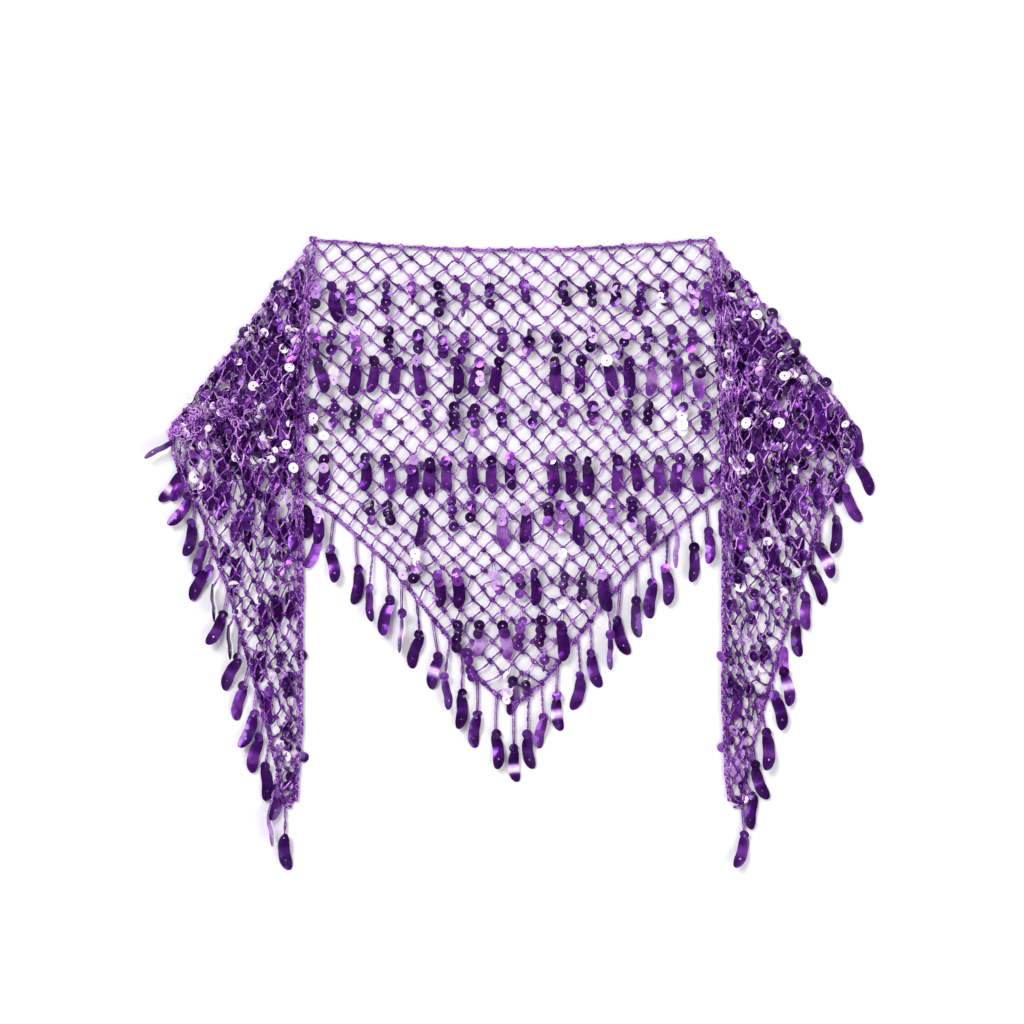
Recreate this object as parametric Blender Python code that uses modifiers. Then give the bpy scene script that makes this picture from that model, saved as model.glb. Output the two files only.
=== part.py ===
"""Triangular net hip scarf with sequin fringe, laid flat with both ends folded down over the front.

Metres, +Z up, the floor is z = 0. The waist edge runs along +Y, the point of the triangle along -Y.
The origin is the middle of the laid scarf, on the underside of the centre stretch.
Lengths below are millimetres and become metres where a mesh or a curve is made.
Both halves are alike: a side is -1 for the wearer's end at -X and +1 for the end at +X.
"""
import math

import bpy

MM = 0.001

# Yarn and cloth
NET_THICK = 2.2          # the knotted net lying flat
GAP = 0.3                # between one layer or piece and the next
CORD_RADIUS = 2.2        # the crocheted waist edge
STRIP_WIDTH = 2.6        # the chain along the hem that the fringe hangs from
STRIP_THICK = 1.2
FRINGE_LIFT = 0.4        # the fringe clears the floor

# The centre stretch, which runs on under both folded ends: half widths down the middle line
WAIST_Y = 280.8          # where the waist edge turns at each fold
WAIST_HALF = 178.6
WAIST_SAG = 9.0          # the waist edge dips between the folds
FOLD_CORNER = (308.7, 109.8)   # where the fold meets the hem
HEM_START = (185.9, 51.8)      # where the hem comes out from under the folded end
FOLD_INSET = 11.9        # the under layer stops short of the fold, measured along X
UNDER_CORNER_Y = 108.8   # where its edge along the fold meets its hidden hem
SAG_DEPTH = 60.0         # the dip of the waist edge fades out over this much of the net
CENTRE_COLUMNS = 14
HEM_ROWS = (             # y, half width of the centre stretch at the hem
    (51.8, 185.9),
    (34.2, 162.0),
    (13.5, 138.2),
    (-9.9, 112.0),
    (-45.0, 83.3),
    (-73.8, 59.9),
    (-98.1, 41.9),
    (-116.1, 27.9),
    (-130.5, 12.0),
    (-136.0, 4.0),
)

# The folded ends: y, waist edge and outer edge, both as distances from the middle line
WING_ROWS = (
    (266.0, 182.4, 189.9),
    (227.0, 183.4, 221.0),
    (182.0, 185.0, 254.0),
    (137.0, 187.0, 288.0),
    (109.8, 187.6, 308.7),
    (87.0, 188.2, 305.0),
    (64.8, 188.6, 295.5),
    (28.8, 189.2, 277.5),
    (-7.2, 189.5, 266.0),
    (-43.2, 189.5, 253.0),
    (-88.2, 189.5, 240.5),
    (-124.2, 189.5, 230.2),
    (-160.2, 190.0, 220.0),
    (-196.2, 192.0, 211.2),
    (-225.0, 195.0, 206.3),
)
CORD_HALF = CORD_RADIUS + GAP + 0.4      # from the waist edge's middle to the net beside it
EDGE_DROP = 8.8          # the wing curls down to the floor over this width at its outer edge
FLAT_RIM = 0.18          # of that width lies flat on the floor
DROP_AFTER_HEM = (11.0, 28.0)            # it comes down to the floor this far past the hidden hem
GATHERS = (              # where across the wing, how wide, how high the soft gathers stand
    (0.10, 0.055, 2.6),
    (0.28, 0.060, 1.8),
    (0.45, 0.050, 2.3),
    (0.62, 0.060, 1.6),
    (0.79, 0.050, 1.9),
)
RIDGE_FOOT = 0.03        # a gather ends where it is this small a share of its height
GATHER_CURVE = 0.45      # gathers flatten where the wing narrows, so that they never pinch
WING_COLUMNS = 24        # evenly across, with three more for the curl
ROW_PARTS = 2            # rows of the mesh in each row of the table

# Fringe: distance below the root and half width of a drop, a thread, a round sequin and a long one
DROP_PROFILE = (
    (20.0, 0.8),
    (24.5, 4.2),
    (29.0, 2.0),
    (34.0, 4.8),
    (44.0, 5.2),
    (52.0, 4.2),
    (56.5, 1.6),
)
ROOT_HALF = 0.8
ELBOW = 2.6              # a drop leaves its strip this far before it hangs
CENTRE_DROPS = 13        # on each half of the point
WING_DROPS = 15          # on each folded end
LONG_TOP = 29.0          # the long sequin hangs below this
CENTRE_SWAY = (1.0, -0.6, 0.8, 0.0)      # sideways, down to the long sequin, one drop after another
WING_SWAY = (1.0, 2.0, 0.5)
CENTRE_TILT = math.radians(4.0)          # the long sequins swing outward
WING_TILT = math.radians(17.0)

YARN = (0.176, 0.058, 0.323)
CORD = (0.202, 0.070, 0.376)
FOIL = (0.057, 0.010, 0.120)


def clear_scene():
    """Remove every object already in the file."""
    for thing in list(bpy.data.objects):
        bpy.data.objects.remove(thing, do_unlink=True)


def make_material(name, colour, roughness, metallic):
    """A Principled material."""
    material = bpy.data.materials.new(name)
    material.use_nodes = True
    shader = material.node_tree.nodes["Principled BSDF"]
    shader.inputs["Base Color"].default_value = (*colour, 1.0)
    shader.inputs["Roughness"].default_value = roughness
    shader.inputs["Metallic"].default_value = metallic
    return material


def smooth(value, low, high):
    """0 up to low, 1 from high on, with a soft start and end between them."""
    part = min(max((value - low) / (high - low), 0.0), 1.0)
    return part * part * (3.0 - 2.0 * part)


def between(rows, key, column):
    """Read a column of a table at the key, which falls from row to row, along straight lines."""
    for upper, lower in zip(rows, rows[1:]):
        if key >= lower[0]:
            part = (key - lower[0]) / (upper[0] - lower[0])
            return lower[column] + min(part, 1.0) * (upper[column] - lower[column])
    return rows[-1][column]


def finer(rows, parts):
    """The y of every row of a table, with more rows put evenly between them."""
    levels = []
    for upper, lower in zip(rows, rows[1:]):
        levels += [upper[0] + (lower[0] - upper[0]) * k / parts for k in range(parts)]
    return levels + [rows[-1][0]]


def fold_line(y):
    """The fold's distance from the middle line at this height."""
    slope = (FOLD_CORNER[0] - WAIST_HALF) / (WAIST_Y - FOLD_CORNER[1])
    return WAIST_HALF + slope * (WAIST_Y - y)


def past_hem(x, y):
    """How far a place lies outside the hidden hem, between the fold's corner and the hem's start."""
    slope = (FOLD_CORNER[1] - HEM_START[1]) / (FOLD_CORNER[0] - HEM_START[0])
    return (HEM_START[1] + slope * (x - HEM_START[0]) - y) * math.cos(math.atan(slope))


def layer_height(x, y):
    """The height that a folded end lies at: on the under layer, then down to the floor past its hem."""
    return (NET_THICK + GAP) * (1.0 - smooth(past_hem(x, y), *DROP_AFTER_HEM))


def grid_mesh(name, rows):
    """An open mesh of four-sided faces through rows of points that run along -Y, each row along +X."""
    points = [tuple(value * MM for value in point) for row in rows for point in row]
    width = len(rows[0])
    faces = []
    for r in range(len(rows) - 1):
        for c in range(width - 1):
            corner = r * width + c
            faces.append((corner, corner + width, corner + width + 1, corner + 1))
    mesh = bpy.data.meshes.new(name)
    mesh.from_pydata(points, [], faces)
    return mesh


def add_wall(collection, mesh, thickness, material):
    """Show an open mesh as a wall of this thickness above it."""
    wall = bpy.data.objects.new(mesh.name, mesh)
    collection.objects.link(wall)
    solidify = wall.modifiers.new("thickness", "SOLIDIFY")
    solidify.thickness = thickness * MM
    solidify.offset = 1.0
    mesh.materials.append(material)
    return wall


def centre_rows():
    """Heights and half widths of the centre stretch: its shoulder, its edge inside the fold, then the hem."""
    slope = (FOLD_CORNER[0] - WAIST_HALF) / (WAIST_Y - FOLD_CORNER[1])
    shoulder = WAIST_Y - FOLD_INSET / slope
    rows = [(WAIST_Y, WAIST_HALF), (shoulder, WAIST_HALF)]
    for part in (0.3, 0.6, 0.8, 1.0):
        y = shoulder + (UNDER_CORNER_Y - shoulder) * part
        rows.append((y, fold_line(y) - FOLD_INSET))
    corner_y, corner_half = rows[-1]
    rows.append(((corner_y + HEM_START[1]) / 2.0, (corner_half + HEM_START[0]) / 2.0))
    return rows + list(HEM_ROWS)


def make_centre(collection, material):
    """The centre stretch of net, a flat wall that runs on under both folded ends."""
    rows = []
    for y, half in centre_rows():
        sag = WAIST_SAG * smooth(y, WAIST_Y - SAG_DEPTH, WAIST_Y)
        row = []
        for column in range(CENTRE_COLUMNS + 1):
            x = (2.0 * column / CENTRE_COLUMNS - 1.0) * half
            row.append((x, y - sag * (1.0 - min(abs(x) / WAIST_HALF, 1.0) ** 2), 0.0))
        rows.append(row)
    return add_wall(collection, grid_mesh("net_center", rows), NET_THICK, material)


def wing_point(across, y):
    """A place on the underside of a folded end: across is 0 beside the waist edge and 1 at the outer edge."""
    inner = between(WING_ROWS, y, 1) + CORD_HALF
    outer = between(WING_ROWS, y, 2)
    width = outer - inner
    drop = min(EDGE_DROP, 0.5 * width)
    x = inner + across * width
    height = layer_height(x, y) * smooth(outer - x, FLAT_RIM * drop, drop)
    for place, spread, tall in GATHERS:
        room = GATHER_CURVE * (spread * width) ** 2 / 4.0
        ridge = math.exp(-((across - place) / spread) ** 2) - RIDGE_FOOT
        height += min(tall, room) * max(ridge, 0.0)
    return x, height


def make_wing(collection, name, side, material):
    """One folded end: a wall with soft gathers that run down it."""
    rows = []
    for y in finer(WING_ROWS, ROW_PARTS):
        width = between(WING_ROWS, y, 2) - between(WING_ROWS, y, 1) - CORD_HALF
        curl = min(EDGE_DROP / width, 0.5)
        places = [(1.0 - curl) * c / (WING_COLUMNS - 1) for c in range(WING_COLUMNS)]
        places += [1.0 - 0.55 * curl, 1.0 - FLAT_RIM * curl, 1.0]
        row = []
        for across in places:
            x, height = wing_point(across, y)
            row.append((side * x, y, height))
        rows.append(row if side > 0 else row[::-1])
    return add_wall(collection, grid_mesh(name, rows), NET_THICK, material)


def add_cord(collection, name, route, radius, material):
    """A round cord along a route."""
    curve = bpy.data.curves.new(name, "CURVE")
    curve.dimensions = "3D"
    curve.bevel_depth = radius * MM
    curve.bevel_resolution = 2
    curve.use_fill_caps = True
    spline = curve.splines.new("POLY")
    spline.points.add(len(route) - 1)
    for point, place in zip(spline.points, route):
        point.co = (place[0] * MM, place[1] * MM, place[2] * MM, 1.0)
    curve.materials.append(material)
    cord = bpy.data.objects.new(name, curve)
    collection.objects.link(cord)
    return cord


def make_waist_edges(collection, material):
    """The crocheted waist edge: the middle stretch, then one down the inner side of each folded end."""
    rise = CORD_RADIUS + 0.1
    offset = CORD_RADIUS + GAP
    reach = WAIST_HALF + 0.2
    middle = []
    for step in range(17):
        x = (step / 8.0 - 1.0) * reach
        sag = WAIST_SAG * (1.0 - min(abs(x) / WAIST_HALF, 1.0) ** 2)
        middle.append((x, WAIST_Y + offset - sag, rise))
    cords = [add_cord(collection, "waist_edge_center", middle, CORD_RADIUS, material)]
    levels = (WAIST_Y + offset, WAIST_Y - 6.0, WAIST_Y - 14.0) + tuple(finer(WING_ROWS, ROW_PARTS)[1:])
    for label, side in (("left", -1.0), ("right", 1.0)):
        route = []
        for y in levels:
            x = between(WING_ROWS, y, 1)
            up = layer_height(x, y) * (1.0 - smooth(y, WAIST_Y - 13.0, WAIST_Y))
            route.append((side * x, y, rise + up))
        cords.append(add_cord(collection, "waist_edge_" + label, route, CORD_RADIUS, material))
    return cords


def hem_path(rows, column, start, end):
    """The hem's points on the +X half between two heights, from the top down."""
    inside = [(row[column], row[0]) for row in rows if end < row[0] < start]
    return [(between(rows, start, column), start)] + inside + [(between(rows, end, column), end)]


def walk(path, distance):
    """The place and the outward direction at a distance along a path that runs down the +X half."""
    for first, second in zip(path, path[1:]):
        step = math.dist(first, second)
        if distance <= step or second is path[-1]:
            along = ((second[0] - first[0]) / step, (second[1] - first[1]) / step)
            place = (first[0] + along[0] * distance, first[1] + along[1] * distance)
            return place, (-along[1], along[0])
        distance -= step


def make_fringe(collection, name, side, path, drops, spare, sway, tilt, material):
    """A chain along the hem with drops hanging from it, made from one flat surface with a thickness.

    path is the hem on the +X half. spare is the length of chain below the last drop. The drops sway
    by the lengths in sway, taken in turn, and their long sequins swing outward by the angle tilt.
    """
    corners = [0.0]
    for place, following in zip(path, path[1:]):
        corners.append(corners[-1] + math.dist(place, following))
    first_root = ROOT_HALF + 0.7
    pitch = (corners[-1] - spare - first_root) / (drops - 1)
    roots = [first_root + pitch * k for k in range(drops)]
    edges = [root + end for root in roots for end in (-ROOT_HALF, ROOT_HALF)]
    bends = [at for at in corners if min(abs(at - root) for root in roots) > ROOT_HALF + 0.1]
    stations = sorted(edges + bends)
    points = []
    faces = []

    def add(x, y):
        points.append((side * x * MM, y * MM, FRINGE_LIFT * MM))
        return len(points) - 1

    def face(*around):
        faces.append(around if side > 0 else around[::-1])

    pairs = []
    for distance in stations:
        (x, y), outward = walk(path, distance)
        pairs.append([add(x + outward[0] * reach, y + outward[1] * reach)
                      for reach in (GAP, GAP + STRIP_WIDTH)])
    for (near, far), (near_next, far_next) in zip(pairs, pairs[1:]):
        face(near, near_next, far_next, far)
    for k, root in enumerate(roots):
        (x, y), outward = walk(path, root)
        reach = GAP + STRIP_WIDTH + ELBOW
        x, y = x + outward[0] * reach, y + outward[1] * reach
        upper = stations.index(edges[2 * k])
        outer, inner = pairs[upper][1], pairs[upper + 1][1]
        for down, half in ((3.0, ROOT_HALF),) + DROP_PROFILE:
            long_part = max(down - LONG_TOP, 0.0)
            middle = x + sway[k % len(sway)] * down / LONG_TOP + math.sin(tilt) * long_part
            low = y - min(down, LONG_TOP) - math.cos(tilt) * long_part
            slant = math.tan(tilt) * half if long_part > 0.0 else 0.0
            outer_next, inner_next = add(middle + half, low + slant), add(middle - half, low - slant)
            face(outer, inner, inner_next, outer_next)
            outer, inner = outer_next, inner_next
    mesh = bpy.data.meshes.new(name)
    mesh.from_pydata(points, [], faces)
    return add_wall(collection, mesh, STRIP_THICK, material)


def main():
    clear_scene()
    collection = bpy.data.collections.new("belly_dance_hip_scarf")
    bpy.context.scene.collection.children.link(collection)
    yarn = make_material("net yarn", YARN, 0.62, 0.15)
    cord = make_material("edge yarn", CORD, 0.60, 0.15)
    foil = make_material("foil fringe", FOIL, 0.22, 0.85)
    make_centre(collection, yarn)
    make_waist_edges(collection, cord)
    point_hem = hem_path(HEM_ROWS, 1, 42.0, -136.0)
    wing_hem = hem_path(WING_ROWS, 2, 106.0, -224.0)
    for label, side, past_middle, spare in (("left", -1.0, [(-3.0, -136.0)], 2.0),
                                            ("right", 1.0, [], 12.0)):
        make_wing(collection, "net_" + label, side, yarn)
        make_fringe(collection, "fringe_center_" + label, side, point_hem + past_middle,
                    CENTRE_DROPS, spare, CENTRE_SWAY, CENTRE_TILT, foil)
        make_fringe(collection, "fringe_wing_" + label, side, wing_hem,
                    WING_DROPS, 2.0, WING_SWAY, WING_TILT, foil)


main()
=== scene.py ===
# %% [markdown]
# # A sequined net hip scarf, laid flat with both ends folded down
#
# The real piece is a wide triangle of crocheted net, worn round the hips for belly dance. Metallic
# yarn is knotted into diamond cells, sequins hang from the knots in rows, and long bean-shaped
# sequins swing from the hem. Here it lies on a table: the middle shows its right side, and the two
# ends are folded down over the front, so they show their back with the sequins underneath.
#
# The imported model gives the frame. Each of its ten solids is a plain wall, cord or strip, and each
# is replaced here by the same form in real yarn and film.
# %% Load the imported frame
import math
import bpy
import numpy as np
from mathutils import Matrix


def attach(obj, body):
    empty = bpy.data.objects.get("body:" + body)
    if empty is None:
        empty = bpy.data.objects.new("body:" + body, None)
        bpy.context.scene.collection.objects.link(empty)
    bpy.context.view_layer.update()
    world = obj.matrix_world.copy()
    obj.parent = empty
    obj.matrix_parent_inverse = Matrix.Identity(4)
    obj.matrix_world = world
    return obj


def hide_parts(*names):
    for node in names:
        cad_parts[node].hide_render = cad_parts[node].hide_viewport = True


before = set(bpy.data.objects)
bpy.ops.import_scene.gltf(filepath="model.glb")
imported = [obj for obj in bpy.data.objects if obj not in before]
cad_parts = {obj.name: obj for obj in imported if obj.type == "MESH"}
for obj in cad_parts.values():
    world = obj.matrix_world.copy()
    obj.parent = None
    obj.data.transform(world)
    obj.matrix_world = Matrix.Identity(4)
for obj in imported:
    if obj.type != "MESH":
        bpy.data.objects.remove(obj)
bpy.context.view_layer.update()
MM = 0.001

# %% [markdown]
# ## Measures
#
# Everything is worked out in millimetres, x across, y up the table and z above it, and turned to
# metres when a mesh is made. Places that are listed one by one are on a lay-out grid, in squares
# of 0.9 mm counted from its upper left corner. At that size the round sequins come out at 9 to
# 10 mm, in which they are sold. `plan` turns such a place into millimetres.
# %% The scarf's measures, as in its solids
SQUARE, GRID_SQUARES = 0.9, 1024  # mm, one square of the lay-out grid, and squares along it
ORIGIN_X, ORIGIN_Y = 512.5, 552   # squares, where the scarf's origin lies
SIDES = ((-1, "left"), (1, "right"))
UP = np.array((0.0, 0.0, 1.0))
NET_THICK, LAYER_GAP = 2.2, 0.3   # mm, the net lying flat, and the gap between two layers
WAIST_Y, WAIST_HALF, WAIST_SAG = 280.8, 178.6, 9.0
CORNER_LEAN = 4.5                 # a folded end's waist edge leans in this far to the top corner
FOLD_CORNER = (308.7, 109.8)      # where the fold meets the hem
HEM_START = (185.9, 51.8)         # where the hem comes out from under a folded end
FOLD_INSET = 11.9                 # the under layer stops this far inside the fold
FOLD_SLOPE = 0.761                # how far the fold runs out for each millimetre down
CORD_HALF = 2.9                   # from the middle of the waist edge to the net beside it
EDGE_DROP, FLAT_RIM = 8.8, 0.18   # a folded end curls down to the table over this width
DROP_AFTER_HEM = (11.0, 28.0)     # and comes down to the table past the hidden hem
OVER_DROPS = 2.4                  # the net's rise where it crosses the hidden drops
RISE_PAST_HEM, FALL_PAST_HEM = (4, 20), (48, 66)   # mm beyond it, where this starts and ends
HALF_WIDTH, WAIST_EDGE, OUTER_EDGE, CELL_WIDTH = 1, 1, 2, 1   # columns of the tables
HEM_ROWS = np.array([             # y, half width of the pointed middle
    (51.8, 185.9), (34.2, 162.0), (13.5, 138.2), (-9.9, 112.0), (-45.0, 83.3), (-73.8, 59.9),
    (-98.1, 41.9), (-116.1, 27.9), (-130.5, 12.0), (-136.0, 4.0)])
WING_ROWS = np.array([            # y, waist edge, outer edge of a folded end
    (266.0, 182.4, 189.9), (227.0, 183.4, 221.0), (182.0, 185.0, 254.0), (137.0, 187.0, 288.0),
    (109.8, 187.6, 308.7), (87.0, 188.2, 305.0), (64.8, 188.6, 295.5), (28.8, 189.2, 277.5),
    (-7.2, 189.5, 266.0), (-43.2, 189.5, 253.0), (-88.2, 189.5, 240.5), (-124.2, 189.5, 230.2),
    (-160.2, 190.0, 220.0), (-196.2, 192.0, 211.2), (-225.0, 195.0, 206.3)])
GATHERS = ((0.10, 0.055, 2.6), (0.28, 0.060, 1.8), (0.45, 0.050, 2.3), (0.62, 0.060, 1.6),
           (0.79, 0.050, 1.9))    # across, spread, height in mm of the soft gathers
RIDGE_FOOT, GATHER_CURVE = 0.03, 0.45   # cut off below a gather, and its limit where narrow
FOLD_BELLY = 3.8                  # mm, how far the right end's fold bellies out

def plan(squares):
    """Places on the lay-out grid, (..., 2) in squares, to millimetres from the scarf's origin."""
    squares = np.asarray(squares, float)
    return np.stack([(squares[..., 0] - ORIGIN_X) * SQUARE, (ORIGIN_Y - squares[..., 1]) * SQUARE], -1)

def eased(value, low, high):
    """0 up to low and 1 from high on, with 3t² - 2t³ between them."""
    t = np.clip((value - low) / (high - low), 0.0, 1.0)
    return t * t * (3.0 - 2.0 * t)

def read(rows, y, column):
    """A column of a table of rows at the height y, along straight lines."""
    return np.interp(y, rows[::-1, 0], rows[::-1, column])

def fold_line(y):
    """Half width of the fold at y, a straight line from the waist's corner to the fold's corner."""
    return WAIST_HALF + (FOLD_CORNER[0] - WAIST_HALF) * (WAIST_Y - y) / (WAIST_Y - FOLD_CORNER[1])

def past_hem(x, y):
    """How far a place lies beyond the hidden hem, which is straight under a folded end."""
    slope = (FOLD_CORNER[1] - HEM_START[1]) / (FOLD_CORNER[0] - HEM_START[0])
    return (HEM_START[1] + slope * (x - HEM_START[0]) - y) * math.cos(math.atan(slope))

def waist_side(y):
    """How far out the waist edge of a folded end runs at y."""
    return read(WING_ROWS, y, WAIST_EDGE) - CORNER_LEAN * eased(y, 190.0, 283.0)

def outer_side(y):
    """The outer edge of a folded end at y: the fold down to its corner, then the hem."""
    return np.where(y > WING_ROWS[0, 0], fold_line(y), read(WING_ROWS, y, OUTER_EDGE))

def under_wing(x, y):
    """Height of a folded end's underside: one layer up, down at the edge, plus bell-shaped gathers."""
    inner, outer = waist_side(y) + CORD_HALF, outer_side(y)
    width = np.maximum(outer - inner, 1.0)
    drop = np.minimum(EDGE_DROP, 0.5 * width)
    height = (NET_THICK + LAYER_GAP) * (1.0 - eased(past_hem(x, y), *DROP_AFTER_HEM))
    height = height * eased(outer - x, FLAT_RIM * drop, drop)
    across = (x - inner) / width
    for place, spread, tall in GATHERS:
        room = GATHER_CURVE * (spread * width) ** 2 / 4.0
        ridge = np.exp(-((across - place) / spread) ** 2) - RIDGE_FOOT
        height = height + np.minimum(tall, room) * np.maximum(ridge, 0.0)
    return height

def over_drops(x, y):
    """Where the net of a folded end lies: its underside, and more over the hidden hem's drops."""
    past = past_hem(x, y)
    rise = OVER_DROPS * eased(past, *RISE_PAST_HEM) * (1 - eased(past, *FALL_PAST_HEM))
    return under_wing(x, y) + rise

def bellied(part):
    """A part of the right end, whose fold bellies out: a point moves out by FOLD_BELLY times the
    square of its share of the way from the waist edge to the fold, less near the fold's ends."""
    points = part[0]
    inner, outer = waist_side(points[:, 1]), fold_line(points[:, 1])
    share = np.clip((points[:, 0] - inner) / np.maximum(outer - inner, 10.0), 0.0, 1.2)
    along = eased(points[:, 1], 100.0, 135.0) * (1.0 - eased(points[:, 1], 190.0, 275.0))
    points[:, 0] += FOLD_BELLY * share ** 2 * along
    return part

def below_fold(x, y, gap):
    """y, held down to this gap below the fold of the left end."""
    return np.minimum(y, WAIST_Y - (-x - WAIST_HALF) / FOLD_SLOPE - gap)

def unit(vectors):
    """The same vectors with length 1."""
    return vectors / np.maximum(np.linalg.norm(vectors, axis=-1, keepdims=True), 1e-6)

def ripples(x, y, seed, length):
    """An uneven wave over the cloth, about -1 to 1: twice the mean of six sine waves of this length."""
    dice = np.random.default_rng(seed)
    turn, start = dice.uniform(0, 2 * np.pi, (2, 6))
    reach = length * dice.uniform(0.7, 1.5, 6)
    phase = 2 * np.pi * (x[..., None] * np.cos(turn) + y[..., None] * np.sin(turn)) / reach + start
    return 2.0 * np.sin(phase).mean(-1)

print("waist edge", 2 * WAIST_HALF, "mm between the folds; fold corner at", FOLD_CORNER)

# %% [markdown]
# ## Camera, table and light
#
# The scarf is seen straight from above. A long lens a good way off keeps the net from leaning
# outward. Sequins are small mirrors, so the light is planned for what they reflect: the sky
# overhead is dim, so that flat film reads deep violet, and it grows bright towards the sides, so
# that tilted film reads clear purple or flashes white. A large soft box at the upper left gives
# the sharpest glints and the soft shadow at the lower right; a weaker one stands opposite.
# %% Camera, table and light
def add_object(name, data):
    """An object that shows this camera, light or mesh."""
    shown = bpy.data.objects.new(name, data)
    bpy.context.scene.collection.objects.link(shown)
    return shown

def colour(hex_code):
    """An sRGB hex value as linear red, green, blue and 1."""
    srgb = [int(hex_code[k:k + 2], 16) / 255 for k in (1, 3, 5)]
    return tuple(c / 12.92 if c <= 0.04045 else ((c + 0.055) / 1.055) ** 2.4 for c in srgb) + (1.0,)

def add_node(tree, kind, settings=None, **links):
    """A node of this kind. settings are its properties and the values of its inputs; links are
    other nodes' outputs for its inputs."""
    node = tree.nodes.new(kind)
    for name, value in (settings or {}).items():
        if name in node.inputs:
            node.inputs[name].default_value = value
        else:
            setattr(node, name, value)
    for name, source in links.items():
        tree.links.new(source, node.inputs[name])
    return node

def ramp(tree, value, stops):
    """The colour of a value on a ramp of stops, (place, hex or grey)."""
    node = add_node(tree, "ShaderNodeValToRGB", Fac=value)
    while len(node.color_ramp.elements) < len(stops):
        node.color_ramp.elements.new(0.5)
    for element, (place, shade) in zip(node.color_ramp.elements, stops):
        element.position = place
        element.color = colour(shade) if isinstance(shade, str) else (shade, shade, shade, 1.0)
    return node.outputs["Color"]

def new_material(name, settings):
    """A material with these settings on its shader, its node tree and the shader."""
    material = bpy.data.materials.new(name)
    material.use_nodes = True
    shader = material.node_tree.nodes["Principled BSDF"]
    for socket, value in settings.items():
        shader.inputs[socket].default_value = value
    return material, material.node_tree, shader

CAMERA_HEIGHT, SENSOR = 2.6, 36.0   # m, and the sensor's width in mm
FRAME_WIDTH = GRID_SQUARES * SQUARE * MM
camera_data = bpy.data.cameras.new("overhead_camera")
camera_data.sensor_width = SENSOR
camera_data.lens = SENSOR * CAMERA_HEIGHT / FRAME_WIDTH
camera_data.clip_end = 20.0
camera = add_object("overhead_camera", camera_data)
camera.location = (*plan((GRID_SQUARES // 2, GRID_SQUARES // 2)) * MM, CAMERA_HEIGHT)
bpy.context.scene.camera = camera
bpy.context.scene.view_settings.view_transform = "Standard"

TABLE_HALF = 4                    # m
table_mesh = bpy.data.meshes.new("table_top")
table_mesh.from_pydata([(x * TABLE_HALF, y * TABLE_HALF, 0) for x, y in (
    (-1, -1), (1, -1), (1, 1), (-1, 1))], [], [(0, 1, 2, 3)])
table_top = add_object("table_top", table_mesh)
table_mesh.materials.append(new_material("matt_white_backdrop_paper", {
    "Base Color": colour("#f4f3f6"), "Roughness": 0.9, "Specular IOR Level": 0.1})[0])

world = bpy.data.worlds.new("soft_studio")
bpy.context.scene.world = world
world.use_nodes = True
sky = world.node_tree
direction = add_node(sky, "ShaderNodeTexCoord").outputs["Generated"]
upward = add_node(sky, "ShaderNodeSeparateXYZ", Vector=direction).outputs["Z"]
grey = ramp(sky, upward, [(0.0, 0.90), (0.50, 1.0), (0.78, 0.60), (0.95, 0.17), (1.0, 0.05)])
backdrop = sky.nodes["Background"]
backdrop.inputs["Strength"].default_value = 0.96
sky.links.new(grey, backdrop.inputs["Color"])

def add_soft_box(name, place, size, power):
    """A square area light at this place in metres, turned to face the scarf."""
    light = bpy.data.lights.new(name, "AREA")
    light.shape, light.size, light.energy = "SQUARE", size, power
    box = add_object(name, light)
    box.location = place
    tilt, turn = math.acos(place[2] / np.linalg.norm(place)), math.atan2(place[1], place[0])
    box.rotation_euler = (0.0, tilt, turn)

KEY_PLACE = np.array((-3.6, 3.9, 5.2))
add_soft_box("key_soft_box", KEY_PLACE, 3.2, 400.0)
add_soft_box("fill_soft_box", (4.2, -2.4, 3.6), 3.4, 115.0)
print("lens", round(camera_data.lens, 1), "mm")

# %% [markdown]
# ## Making a piece from arrays
#
# All the small things on this scarf, a few thousand stretches of yarn, knots and sequins, are each
# a simple closed surface. Modelling one and copying objects would give thousands of objects, so
# whole arrays of points are worked out with numpy instead and joined into one mesh for each piece.
# %% From arrays to a piece
def make_piece(name, parts, node, slot):
    """Joins parts, each (points in mm, lists of faces, marks), to one mesh that stands for a node.
    marks are numbers a point carries for its material, by name. The slot gives the material and
    the least angle in degrees that stays sharp."""
    material, crease = LOOKS[slot]
    points = np.concatenate([part[0] for part in parts])
    starts = np.cumsum([0] + [len(part[0]) for part in parts])
    faces = [f + start for part, start in zip(parts, starts) for f in part[1]]
    corners = np.concatenate([f.ravel() for f in faces])
    sizes = np.concatenate([np.full(len(f), f.shape[1]) for f in faces])
    mesh = bpy.data.meshes.new(name)
    mesh.vertices.add(len(points))
    mesh.vertices.foreach_set("co", (points * MM).astype(np.float32).ravel())
    mesh.loops.add(len(corners))
    mesh.loops.foreach_set("vertex_index", corners.astype(np.int32))
    mesh.polygons.add(len(sizes))
    mesh.polygons.foreach_set("loop_start", (np.cumsum(sizes) - sizes).astype(np.int32))
    mesh.polygons.foreach_set("use_smooth", np.ones(len(sizes), bool))
    mesh.update(calc_edges=True)
    if crease:
        mesh.set_sharp_from_angle(angle=math.radians(crease))
    for mark in parts[0][2]:
        values = np.concatenate([np.broadcast_to(part[2][mark], len(part[0])) for part in parts])
        layer = mesh.attributes.new(mark, "FLOAT", "POINT")
        layer.data.foreach_set("value", values.astype(np.float32))
    mesh.materials.append(material)
    piece = add_object(name, mesh)
    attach(piece, "root")
    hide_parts(node)
    print(f"{name}: {int((sizes - 2).sum())} triangles")
    return piece

SKIN = 0.1                        # mm, the least height of anything over the table

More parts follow.
